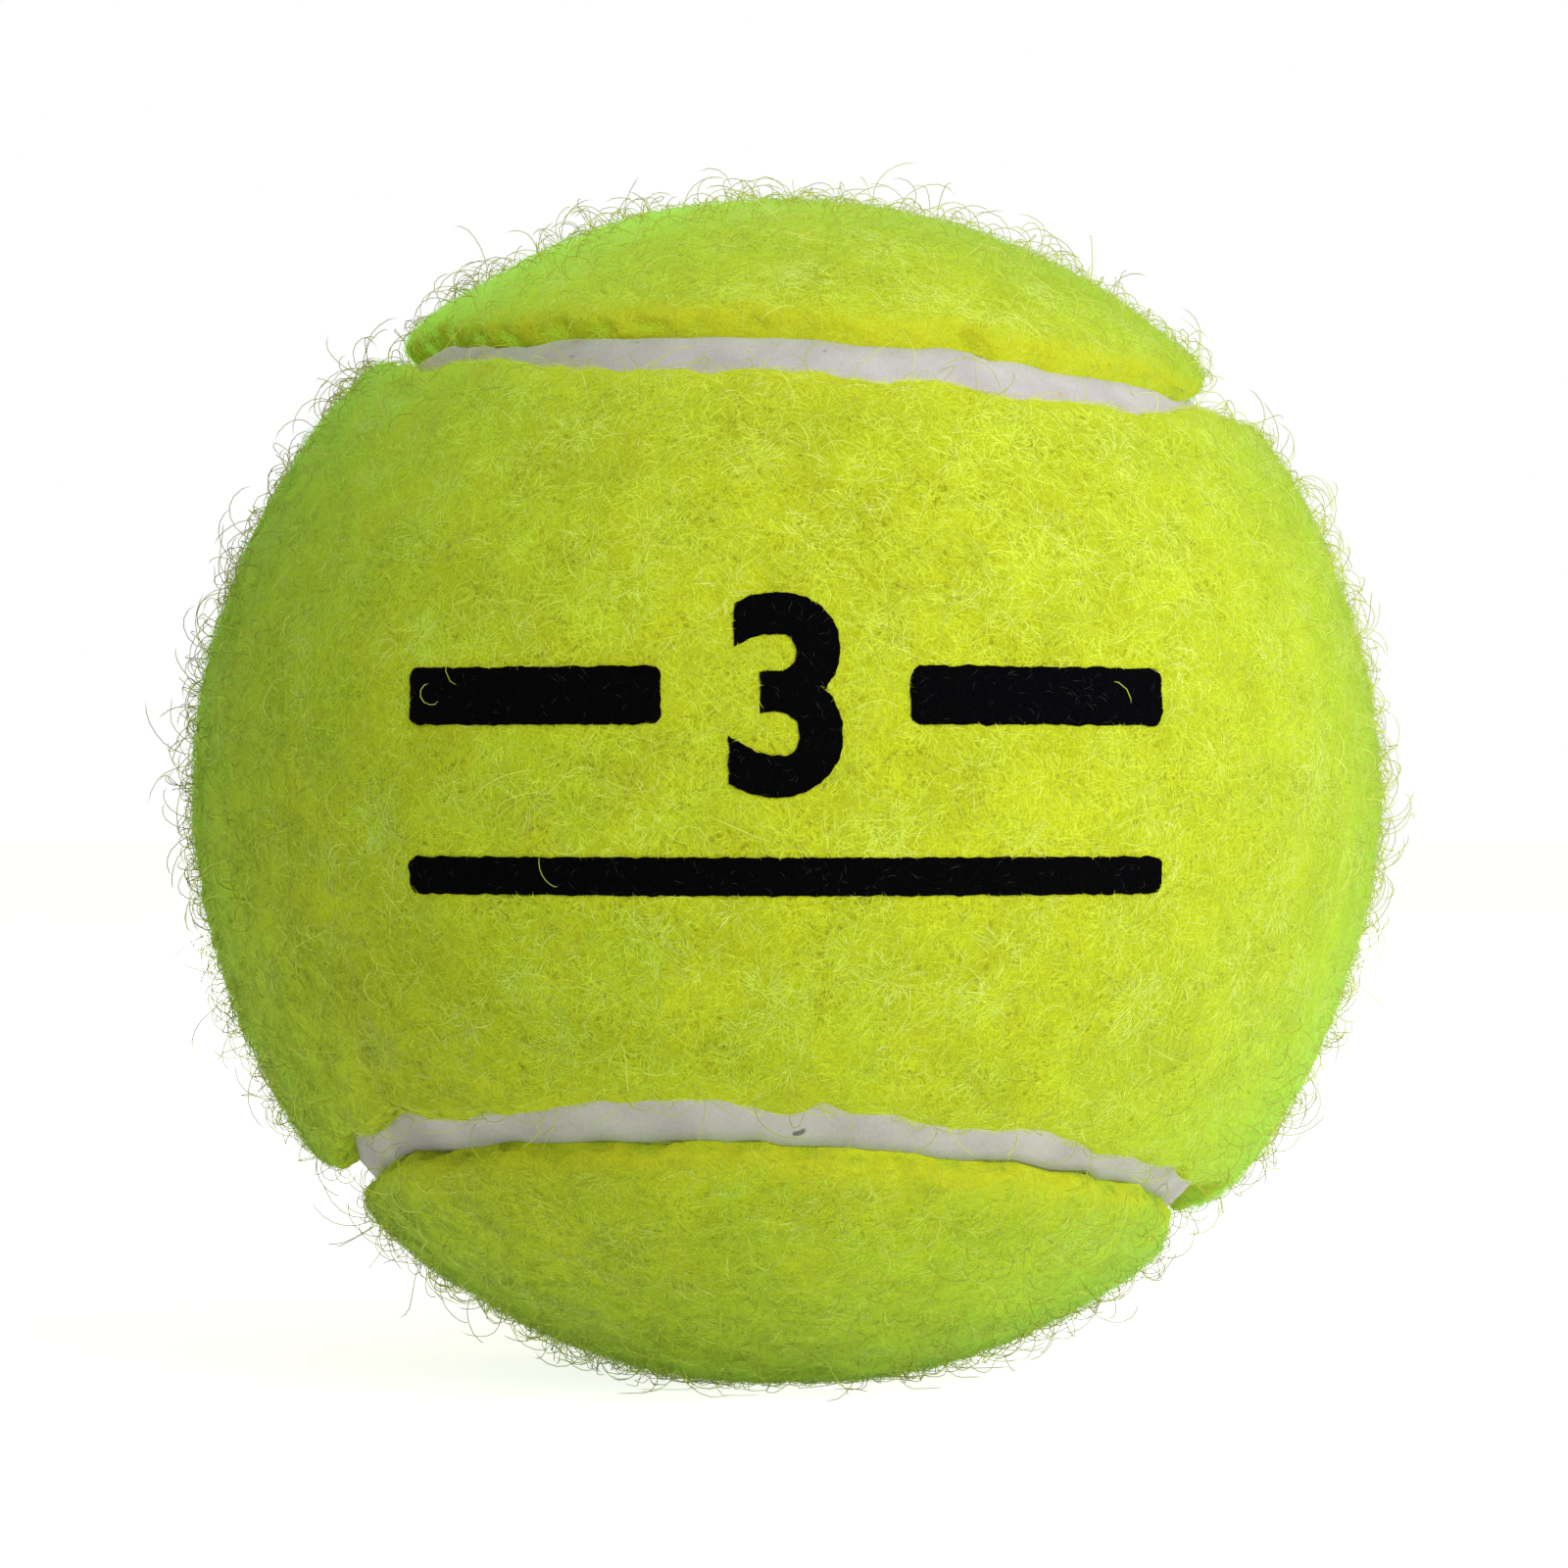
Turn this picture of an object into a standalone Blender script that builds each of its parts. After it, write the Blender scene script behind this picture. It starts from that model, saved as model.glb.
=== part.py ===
"""Padel ball: a pressurised rubber core cemented from two moulded halves, covered by two felt panels
on rubber backing coats, with one moulded seam strip in the groove between the panels.
Metres, +Z up, origin at the centre of the ball, printed side towards -Y."""

import math

import bmesh
import bpy
from mathutils import Matrix, Vector

# Layers of the ball, from the outside in
BALL_DIAMETER = 0.0656
FELT_THICKNESS = 0.0027
COAT_THICKNESS = 0.0004
CORE_WALL = 0.0034
FIT_GAP = 0.0003

# Flat spot where the pile is pressed down by the ball's weight
REST_FLAT_DEPTH = 0.0005

# Cemented joint between the two halves of the core
CEMENT_THICKNESS = 0.0005
RIM_CHAMFER = 0.0009
BEAD_HEIGHT = 0.0006

# Seam line: half the angle across a panel's waist, swell of its end lobes, and how the line lies on the ball
WAIST_HALF_ANGLE = math.radians(38.6)
LOBE_SWELL = 0.274
SEAM_TILT = math.radians(84.5)
SEAM_ROLL = math.radians(3.7)
SEAM_TURN = math.radians(7.7)

# Seam strip
SEAM_WIDTH = 0.0020
SEAM_RECESS = 0.0012
SEAM_CHAMFER = 0.0002

# Rolled edge of the felt: how far it reaches in from the cut edge, and how far it drops
EDGE_ROLL = 0.0020
EDGE_DROP = 0.0010

# Facets
PANEL_CELLS = 12
EDGE_STEPS = 4
RELAX_ROUNDS = 90
CORE_SEGMENTS = 48
CORE_RINGS = 9
SHARP_ANGLE = math.radians(40.0)

# Colours (linear) and roughness of the materials
FELT_COLOUR = (0.56, 0.70, 0.035)
SEAM_COLOUR = (0.56, 0.54, 0.55)
COAT_COLOUR = (0.48, 0.46, 0.44)
CORE_COLOUR = (0.09, 0.085, 0.08)
CEMENT_COLOUR = (0.30, 0.24, 0.16)
FELT_ROUGHNESS = 0.95
RUBBER_ROUGHNESS = 0.70
CEMENT_ROUGHNESS = 0.55

# Radii and edge places that follow from the sizes above
BALL_RADIUS = BALL_DIAMETER / 2
FELT_INNER = BALL_RADIUS - FELT_THICKNESS
COAT_OUTER = FELT_INNER - FIT_GAP
COAT_INNER = COAT_OUTER - COAT_THICKNESS
CORE_OUTER = COAT_INNER - FIT_GAP
CORE_INNER = CORE_OUTER - CORE_WALL
SEAM_TOP = BALL_RADIUS - SEAM_RECESS
SEAM_BASE = CORE_OUTER + FIT_GAP
PANEL_EDGE = SEAM_WIDTH / 2 + FIT_GAP

# Points nearer than this are one point
WELD_DISTANCE = FIT_GAP / 300

# The seam line is walked by a parameter that goes once round in a full turn. A panel's end lobes are centred
# on 0 and half a turn, and each lobe's two corners lie an eighth of half a turn to either side.
LOBE_CORNER = math.pi / 8
STATION_STEP = math.pi / 4 / PANEL_CELLS
STATIONS = 8 * PANEL_CELLS


def seam_point(walk):
    """Unit direction of the seam line, with the first panel's waist at +Z and its lobes along X."""
    latitude = -(math.pi / 2 - WAIST_HALF_ANGLE) * math.cos(2 * walk)
    longitude = walk + LOBE_SWELL * math.sin(4 * walk)
    return Vector((
        math.cos(latitude) * math.cos(longitude),
        math.cos(latitude) * math.sin(longitude),
        math.sin(latitude),
    ))


def beside_seam(walk, distance):
    """Unit direction of a point at a distance from the seam line, square to it, towards the first panel."""
    nearby = STATION_STEP / 100
    here = seam_point(walk)
    along = seam_point(walk + nearby) - seam_point(walk - nearby)
    across = here.cross(along).normalized()
    angle = distance / SEAM_TOP
    return here * math.cos(angle) + across * math.sin(angle)


def panel_edge_walk(column, row):
    """Seam parameter of a point on the rim of a panel's grid, three times as long as it is wide."""
    if column == 0:
        return LOBE_CORNER - row * STATION_STEP
    if column == 3 * PANEL_CELLS:
        return math.pi - LOBE_CORNER + row * STATION_STEP
    if row == 0:
        return LOBE_CORNER + column * STATION_STEP
    return -LOBE_CORNER - column * STATION_STEP


def add_panel_skin(bm, walk_layer, edge_distance, radius):
    """Grid wrapped on a sphere: its rim keeps a distance from the seam line and its inside is relaxed."""
    columns = 3 * PANEL_CELLS
    rows = PANEL_CELLS
    grid = bmesh.ops.create_grid(bm, x_segments=columns, y_segments=rows, size=1.0)["verts"]
    inside = []
    for vert in grid:
        column = round((vert.co.x + 1) / 2 * columns)
        row = round((vert.co.y + 1) / 2 * rows)
        if column in (0, columns) or row in (0, rows):
            vert[walk_layer] = panel_edge_walk(column, row)
            vert.co = beside_seam(vert[walk_layer], edge_distance)
        else:
            near = beside_seam(panel_edge_walk(column, 0), edge_distance)
            far = beside_seam(panel_edge_walk(column, rows), edge_distance)
            vert.co = near.slerp(far, row / rows)
            inside.append(vert)
    for _ in range(RELAX_ROUNDS):
        bmesh.ops.smooth_vert(
            bm, verts=inside, factor=0.5, use_axis_x=True, use_axis_y=True, use_axis_z=True
        )
        for vert in inside:
            vert.co.normalize()
    bmesh.ops.scale(bm, vec=(radius, radius, radius), verts=grid)


def panel_mesh(section):
    """Closed panel. The section lists (distance from the seam line, radius) round the panel's edge, from the
    rim of its outer skin to the rim of its inner skin."""
    bm = bmesh.new()
    walk_layer = bm.verts.layers.float.new("seam_walk")
    add_panel_skin(bm, walk_layer, *section[0])
    for distance, radius in section[1:]:
        rim = [edge for edge in bm.edges if edge.is_boundary]
        made = bmesh.ops.extrude_edge_only(bm, edges=rim)["geom"]
        for vert in made:
            if isinstance(vert, bmesh.types.BMVert):
                vert.co = beside_seam(vert[walk_layer], distance) * radius
    add_panel_skin(bm, walk_layer, *section[-1])
    bmesh.ops.remove_doubles(bm, verts=bm.verts, dist=WELD_DISTANCE)
    bm.verts.layers.float.remove(walk_layer)
    bmesh.ops.recalc_face_normals(bm, faces=bm.faces)
    return bm


def felt_section():
    """The felt's edge: a quarter of an ellipse over the shoulder, then the cut wall down to its back."""
    section = []
    for step in range(EDGE_STEPS + 1):
        turn = math.pi / 2 * step / EDGE_STEPS
        distance = PANEL_EDGE + EDGE_ROLL * (1 - math.sin(turn))
        radius = BALL_RADIUS - EDGE_DROP * (1 - math.cos(turn))
        section.append((distance, radius))
    section.append((PANEL_EDGE, FELT_INNER))
    return section


def cut_rest_flat(bm, panel_to_ball):
    """Takes off the cap below the ball's resting plane and closes the cut with one flat face."""
    ball_to_panel = panel_to_ball.inverted()
    cut = bmesh.ops.bisect_plane(
        bm,
        geom=bm.verts[:] + bm.edges[:] + bm.faces[:],
        plane_co=ball_to_panel @ Vector((0.0, 0.0, REST_FLAT_DEPTH - BALL_RADIUS)),
        plane_no=ball_to_panel.to_3x3() @ Vector((0.0, 0.0, -1.0)),
        clear_outer=True,
    )["geom_cut"]
    rim = [edge for edge in cut if isinstance(edge, bmesh.types.BMEdge)]
    bmesh.ops.holes_fill(bm, edges=rim, sides=0)
    bmesh.ops.recalc_face_normals(bm, faces=bm.faces)


def seam_strip_mesh():
    """Closed strip swept once round the seam line, with chamfered upper edges."""
    half = SEAM_WIDTH / 2
    section = (
        (-half, SEAM_BASE),
        (half, SEAM_BASE),
        (half, SEAM_TOP - SEAM_CHAMFER),
        (half - SEAM_CHAMFER, SEAM_TOP),
        (SEAM_CHAMFER - half, SEAM_TOP),
        (-half, SEAM_TOP - SEAM_CHAMFER),
    )
    bm = bmesh.new()
    rings = []
    for station in range(STATIONS):
        walk = LOBE_CORNER + station * STATION_STEP
        rings.append([bm.verts.new(beside_seam(walk, place) * radius) for place, radius in section])
    for station, ring in enumerate(rings):
        following = rings[(station + 1) % STATIONS]
        for corner in range(len(section)):
            beyond = (corner + 1) % len(section)
            bm.faces.new((ring[corner], ring[beyond], following[beyond], following[corner]))
    bmesh.ops.recalc_face_normals(bm, faces=bm.faces)
    return bm


def turned_mesh(profile, closed):
    """A profile of (distance from the axis, height) points turned once about Z."""
    bm = bmesh.new()
    verts = [bm.verts.new((distance, 0.0, height)) for distance, height in profile]
    edges = [bm.edges.new(pair) for pair in zip(verts, verts[1:])]
    if closed:
        edges.append(bm.edges.new((verts[-1], verts[0])))
    bmesh.ops.spin(
        bm,
        geom=verts + edges,
        cent=(0.0, 0.0, 0.0),
        axis=(0.0, 0.0, 1.0),
        angle=2 * math.pi,
        steps=CORE_SEGMENTS,
        use_merge=True,
    )
    bmesh.ops.remove_doubles(bm, verts=bm.verts, dist=WELD_DISTANCE)
    bmesh.ops.recalc_face_normals(bm, faces=bm.faces)
    return bm


def arc_points(radius, start, end):
    """Points of an arc about the ball's centre, between two angles above the parting plane."""
    turns = [start + (end - start) * step / CORE_RINGS for step in range(CORE_RINGS + 1)]
    return [(radius * math.cos(turn), radius * math.sin(turn)) for turn in turns]


def core_half_mesh():
    """Moulded half: outer dome, flat rim, chamfer that takes the cement bead, and inner dome."""
    rim = CEMENT_THICKNESS / 2 + FIT_GAP
    outer = arc_points(CORE_OUTER, math.pi / 2, math.asin(rim / CORE_OUTER))
    inner = arc_points(CORE_INNER, math.asin((rim + RIM_CHAMFER) / CORE_INNER), math.pi / 2)
    outer[0] = (0.0, CORE_OUTER)
    inner[-1] = (0.0, CORE_INNER)
    flat_end = inner[0][0] + RIM_CHAMFER
    return turned_mesh([*outer, (flat_end, rim), *inner], closed=False)


def cement_ring_mesh():
    """Cement joint: a thin washer between the rims, with a bead squeezed out into their chamfers."""
    face = CEMENT_THICKNESS / 2
    chamfer_foot = face + FIT_GAP + RIM_CHAMFER
    hollow = math.sqrt(CORE_INNER**2 - chamfer_foot**2)
    bend = FIT_GAP * math.tan(math.pi / 8)
    bead_rise = face + RIM_CHAMFER - bend
    upper = [
        (CORE_OUTER, face),
        (hollow + RIM_CHAMFER - bend, face),
        (hollow, bead_rise),
        (hollow - BEAD_HEIGHT, bead_rise / 2),
    ]
    lower = [(distance, -height) for distance, height in reversed(upper)]
    return turned_mesh(upper + lower, closed=True)


def rubber_or_felt(name, colour, roughness):
    material = bpy.data.materials.new(name)
    material.use_nodes = True
    shader = material.node_tree.nodes["Principled BSDF"]
    shader.inputs["Base Color"].default_value = (*colour, 1.0)
    shader.inputs["Roughness"].default_value = roughness
    shader.inputs["Metallic"].default_value = 0.0
    return material


def finished_mesh(name, bm, material):
    mesh = bpy.data.meshes.new(name)
    bm.to_mesh(mesh)
    bm.free()
    mesh.materials.append(material)
    mesh.shade_smooth()
    mesh.set_sharp_from_angle(angle=SHARP_ANGLE)
    return mesh


def place(name, mesh, parent, turn):
    piece = bpy.data.objects.new(name, mesh)
    bpy.context.scene.collection.objects.link(piece)
    piece.parent = parent
    piece.matrix_local = turn
    return piece


for leftover in list(bpy.data.objects):
    bpy.data.objects.remove(leftover, do_unlink=True)

# Everything hangs on the ball's centre, and the cover on a frame turned as its seam lies
ball_centre = place("ball_centre", None, None, Matrix.Identity(4))
tilt = Matrix.Rotation(SEAM_TILT, 4, "X")
roll = Matrix.Rotation(SEAM_ROLL, 4, "Y")
turn = Matrix.Rotation(SEAM_TURN, 4, "Z")
seam_turn = turn @ roll @ tilt
seam_frame = place("seam_frame", None, ball_centre, seam_turn)

# The two halves of anything on the ball are one shape, and half a turn brings one onto the other
as_made = Matrix.Identity(4)
upside_down = Matrix.Rotation(math.pi, 4, "X")
other_panel = Matrix.Rotation(math.pi, 4, Vector((1.0, 1.0, 0.0)))

# Core
core_rubber = rubber_or_felt("core_rubber", CORE_COLOUR, RUBBER_ROUGHNESS)
core_half = finished_mesh("core_half", core_half_mesh(), core_rubber)
place("core_half_upper", core_half, ball_centre, as_made)
place("core_half_lower", core_half, ball_centre, upside_down)

cement = rubber_or_felt("cement", CEMENT_COLOUR, CEMENT_ROUGHNESS)
place("core_joint_ring", finished_mesh("core_joint_ring", cement_ring_mesh(), cement), ball_centre, as_made)

# Backing coats
coat_rubber = rubber_or_felt("coat_rubber", COAT_COLOUR, RUBBER_ROUGHNESS)
coat_section = [(PANEL_EDGE, COAT_OUTER), (PANEL_EDGE, COAT_INNER)]
coat = finished_mesh("backing_coat", panel_mesh(coat_section), coat_rubber)
place("backing_coat_front", coat, seam_frame, as_made)
place("backing_coat_rear", coat, seam_frame, other_panel)

# Felt panels: the ball stands on the lower lobe of the rear one
felt = rubber_or_felt("felt", FELT_COLOUR, FELT_ROUGHNESS)
front_felt = panel_mesh(felt_section())
place("felt_panel_front", finished_mesh("felt_panel_front", front_felt, felt), seam_frame, as_made)

rear_felt = panel_mesh(felt_section())
cut_rest_flat(rear_felt, seam_turn @ other_panel)
place("felt_panel_rear", finished_mesh("felt_panel_rear", rear_felt, felt), seam_frame, other_panel)

# Seam strip
seam_rubber = rubber_or_felt("seam_rubber", SEAM_COLOUR, RUBBER_ROUGHNESS)
place("seam_strip", finished_mesh("seam_strip", seam_strip_mesh(), seam_rubber), seam_frame, as_made)
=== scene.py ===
import math

import bmesh
import bpy
import numpy as np
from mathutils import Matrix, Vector, noise
from mathutils.bvhtree import BVHTree


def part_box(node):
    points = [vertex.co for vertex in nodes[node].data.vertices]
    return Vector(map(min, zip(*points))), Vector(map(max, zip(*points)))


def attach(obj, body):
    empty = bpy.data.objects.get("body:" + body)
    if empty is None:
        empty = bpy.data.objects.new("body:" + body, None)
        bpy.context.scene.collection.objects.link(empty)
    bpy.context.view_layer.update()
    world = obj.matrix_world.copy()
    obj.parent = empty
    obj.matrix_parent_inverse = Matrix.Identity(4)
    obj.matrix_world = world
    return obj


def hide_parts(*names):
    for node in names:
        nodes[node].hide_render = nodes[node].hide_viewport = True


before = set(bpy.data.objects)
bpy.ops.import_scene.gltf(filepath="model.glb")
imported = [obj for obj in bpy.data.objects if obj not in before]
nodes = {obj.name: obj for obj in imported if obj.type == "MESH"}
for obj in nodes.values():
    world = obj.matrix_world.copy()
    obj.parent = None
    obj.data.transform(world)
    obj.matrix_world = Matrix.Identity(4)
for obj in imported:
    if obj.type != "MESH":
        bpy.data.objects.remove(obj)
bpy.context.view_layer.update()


# Core halves: two moulded half shells of dark natural rubber, shut inside the ball under its cover.
# They are pressed in a hot mould, which leaves a matt skin with a faint grey bloom and fine pits.
CORE_BLOOM = 0.006
CORE_PIT = 0.0004
CORE_PIT_DEPTH = 0.00003
CORE_ROUGHNESS = 0.72
RUBBER_GLOSS = 0.35


def screen_colour(red, green, blue):
    """Linear colour of a colour given in the 0 to 255 of a screen."""
    shares = [value / 255 for value in (red, green, blue)]
    linear = [share / 12.92 if share <= 0.04045 else ((share + 0.055) / 1.055) ** 2.4 for share in shares]
    return (*linear, 1.0)


def grey(level):
    """Neutral colour of a level, 1 for white."""
    return (level, level, level, 1.0)


def start_material(name, roughness, constants):
    """Material with one shader, whose sockets that are the same all over are set here."""
    material = bpy.data.materials.new(name)
    material.use_nodes = True
    shader = material.node_tree.nodes["Principled BSDF"]
    shader.inputs["Roughness"].default_value = roughness
    for socket, value in constants.items():
        shader.inputs[socket].default_value = value
    return material, material.node_tree, shader


def cloud(tree, grain, detail=2.0, distortion=0.0, kind="FBM"):
    """Noise on the piece's own coordinates, with blotches about one grain across."""
    place = tree.nodes.new("ShaderNodeTexCoord")
    texture = tree.nodes.new("ShaderNodeTexNoise")
    texture.noise_type = kind
    texture.inputs["Scale"].default_value = 1 / grain
    texture.inputs["Detail"].default_value = detail
    texture.inputs["Distortion"].default_value = distortion
    tree.links.new(place.outputs["Object"], texture.inputs["Vector"])
    return texture.outputs["Fac"]


def ramp(tree, factor, stops):
    """Colours along a factor, from (place, colour) stops."""
    made = tree.nodes.new("ShaderNodeValToRGB")
    elements = made.color_ramp.elements
    elements[0].position, elements[0].color = stops[0]
    elements[1].position, elements[1].color = stops[-1]
    for place, colour in stops[1:-1]:
        elements.new(place).color = colour
    tree.links.new(factor, made.inputs["Fac"])
    return made.outputs["Color"]


def mixed(tree, factor, first, second, mode="MIX"):
    """Second colour laid over the first, by a factor that is a socket or a number."""
    made = tree.nodes.new("ShaderNodeMix")
    made.data_type = "RGBA"
    made.blend_type = mode
    for socket, value in ((made.inputs[0], factor), (made.inputs[6], first), (made.inputs[7], second)):
        if isinstance(value, bpy.types.NodeSocket):
            tree.links.new(value, socket)
        else:
            socket.default_value = value
    return made.outputs[2]


def relief(tree, shader, height, depth):
    """Bump from a height socket, in metres."""
    made = tree.nodes.new("ShaderNodeBump")
    made.inputs["Distance"].default_value = depth
    tree.links.new(height, made.inputs["Height"])
    tree.links.new(made.outputs["Normal"], shader.inputs["Normal"])


def rubber_material(name, stops, bloom, pit, pit_depth, roughness):
    """Moulded rubber: cloudy bloom in its colour, and fine pits that are also darker."""
    material, tree, shader = start_material(name, roughness, {"Specular IOR Level": RUBBER_GLOSS})
    clouds = cloud(tree, bloom, detail=4.0, distortion=0.6)
    pits = cloud(tree, pit, detail=3.0)
    pit_darkening = ramp(tree, pits, [(0.30, grey(0.55)), (0.45, grey(1.0))])
    tone = mixed(tree, 1.0, ramp(tree, clouds, stops), pit_darkening, mode="MULTIPLY")
    tree.links.new(tone, shader.inputs["Base Color"])
    relief(tree, shader, pits, pit_depth)
    return material


def dress(name, material):
    """Gives a carried-over solid its finish."""
    nodes[name].data.materials.clear()
    nodes[name].data.materials.append(material)


CORE_TONES = (
    (0.30, screen_colour(58, 55, 52)),
    (0.55, screen_colour(74, 71, 67)),
    (0.80, screen_colour(104, 101, 96)),
)
core_rubber = rubber_material(
    "core_rubber", CORE_TONES, CORE_BLOOM, CORE_PIT, CORE_PIT_DEPTH, CORE_ROUGHNESS
)
dress("core_half_upper", core_rubber)
dress("core_half_lower", core_rubber)


# Joint ring: cured rubber cement between the rims of the two halves. It was brushed on and squeezed out
# into a bead when the press shut, so it is amber, a little glossier than the rubber, with small bubbles.
CEMENT_STREAK = 0.004
CEMENT_BUBBLE = 0.0006
CEMENT_BUBBLE_DEPTH = 0.00006
CEMENT_ROUGHNESS = 0.55
CEMENT_TONES = (
    (0.30, screen_colour(118, 92, 58)),
    (0.55, screen_colour(146, 118, 80)),
    (0.80, screen_colour(176, 150, 110)),
)

cement = rubber_material(
    "cement", CEMENT_TONES, CEMENT_STREAK, CEMENT_BUBBLE, CEMENT_BUBBLE_DEPTH, CEMENT_ROUGHNESS
)
dress("core_joint_ring", cement)


# Backing coats: pale rubber solution spread on the back of each felt panel and cured with it.
# The coat took the print of the cloth, so it has a fine grain under its cloudy grey.
COAT_BLOOM = 0.008
COAT_GRAIN = 0.0007
COAT_GRAIN_DEPTH = 0.00008
COAT_ROUGHNESS = 0.70
COAT_TONES = (
    (0.30, screen_colour(168, 162, 156)),
    (0.55, screen_colour(184, 179, 172)),
    (0.80, screen_colour(202, 198, 190)),
)

coat_rubber = rubber_material(
    "coat_rubber", COAT_TONES, COAT_BLOOM, COAT_GRAIN, COAT_GRAIN_DEPTH, COAT_ROUGHNESS
)
dress("backing_coat_front", coat_rubber)
dress("backing_coat_rear", coat_rubber)


# Felt panels: two dumbbells of napped wool and nylon cloth dyed yellow, stretched and cemented on the core.
# The cut edges wave along the seam and lap over it in places. A golden tint along them is painted shade
# of the groove. The ground is lumpy, with painted shade in its pits, and pressed flat where the ball stands.
# Light goes through such cloth, so it throws no shadow.
BALL_RADIUS = max(vert.co.length for vert in nodes["felt_panel_front"].data.vertices)
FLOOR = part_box("felt_panel_rear")[0].z
WELD_DISTANCE = 1e-6
QUAD_FLATNESS = math.radians(30)
QUAD_SQUARENESS = math.radians(70)
SHOULDER_DROP = 0.0011
GROUND_CUTS = 6
GROUND_SMOOTHING = 12
GROUND_SMOOTHING_SHARE = 0.5
GROUND_SINK = 0.00015
GROUND_SOFTNESS = 0.5
GROUND_LUMPS = ((0.009, 0.00022), (0.0032, 0.00012), (0.0012, 0.00006))
EDGE_REACH = 0.0028
EDGE_LIFT = 0.00020
FRONT_BACK = 0.00015
FRONT_TILT = 0.0
FRONT_LAPS = ((-0.0010, 0.007, Vector((0.0222, -0.0034, -0.0218))),)
REAR_BACK = 0.00070
REAR_TILT = 0.00875
REAR_LAPS = (
    (0.0026, 0.008, Vector((-0.0211, -0.0025, 0.0230))),
    (0.0015, 0.010, Vector((-0.0206, -0.0118, -0.0200))),
    (0.0004, 0.007, Vector((0.0190, -0.0128, -0.0213))),
    (0.0006, 0.007, Vector((0.0221, -0.0078, 0.0206))),
)
FRONT_WAVES = (
    (0.0090, 0.0009, Vector((-0.1482, 0.2337, -0.1515))),
    (0.0048, 0.0008, Vector((0.2809, -0.0636, 0.0647))),
    (0.0026, 0.0006, Vector((-0.1626, -0.1129, -0.2670))),
    (0.0014, 0.0004, Vector((-0.2993, -0.1805, 0.0024))),
)
REAR_WAVES = (
    (0.0090, 0.0009, Vector((0.1883, -0.1428, -0.2923))),
    (0.0048, 0.0008, Vector((0.1926, -0.2017, -0.1609))),
    (0.0026, 0.0006, Vector((0.0207, 0.1021, -0.0775))),
    (0.0014, 0.0004, Vector((0.1436, 0.0542, 0.1192))),
)
EDGE_WAVE_REACH = 0.0045
EDGE_TINT_REACH = 0.0040
GROOVE_SHADE_SHARE = 0.45
FELT_BLOTCH = 0.0035
FELT_TUFT = 0.0028
FELT_PIT_SIZE = 0.00028
FELT_FIBRE = (0.0013, 0.00009)
FELT_FIBRE_SWAY = 0.0004
FELT_FIBRE_TURNS = ((0.2, 0.1, 0.3), (0.3, 0.8, -0.2), (-0.2, 1.5, 0.2), (0.1, 2.3, -0.3))
FELT_FIBRE_DEPTH = 0.00003
# Colour of the painted shade in the felt's pits.
PIT_SHADE_COLOUR = screen_colour(150, 151, 8)
FELT_DEEP = screen_colour(178, 188, 14)
FELT_MID = screen_colour(194, 207, 26)
FELT_PALE = screen_colour(212, 227, 48)
# Golden painted shade of the groove, laid on towards the cut edge.
FELT_GOLDEN_SHADE = screen_colour(211, 210, 36)
FELT_SHEEN = screen_colour(168, 246, 96)
FELT_SHEEN_WEIGHT = 1.0
SHEEN_ROUGHNESS = 0.5
FELT_GLOSS = 0.2
FELT_ROUGHNESS = 0.95
FELT_SHADES = ((0.30, (0.87, 0.86, 0.80, 1.0)), (0.70, (1.07, 1.07, 1.10, 1.0)))


def merged_copy(name):
    """The solid of a node as one joined mesh of quads."""
    bm = bmesh.new()
    bm.from_mesh(nodes[name].data)
    bmesh.ops.remove_doubles(bm, verts=bm.verts, dist=WELD_DISTANCE)
    bmesh.ops.join_triangles(
        bm, faces=bm.faces, angle_face_threshold=QUAD_FLATNESS, angle_shape_threshold=QUAD_SQUARENESS
    )
    return bm


def new_piece(name, bm, material):
    """Object at the origin from a finished bmesh."""
    mesh = bpy.data.meshes.new(name)
    bm.to_mesh(mesh)
    mesh.materials.append(material)
    mesh.shade_smooth()
    piece = bpy.data.objects.new(name, mesh)
    bpy.context.scene.collection.objects.link(piece)
    return piece


def wavy(place, waves):
    """Sum of noises, each with its own wavelength and height."""
    return sum(height * noise.noise(place / length) for length, height in waves)


def edge_wave(place, waves):
    """Sum of noises, each with its own wavelength, height and start."""
    return sum(height * noise.noise((place + start) / length) for length, height, start in waves)


def fade(distance, reach):
    """1 at no distance, falling smoothly to 0 at the reach."""
    share = min(max(1 - distance / reach, 0.0), 1.0)
    return share * share * (3 - 2 * share)


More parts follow.
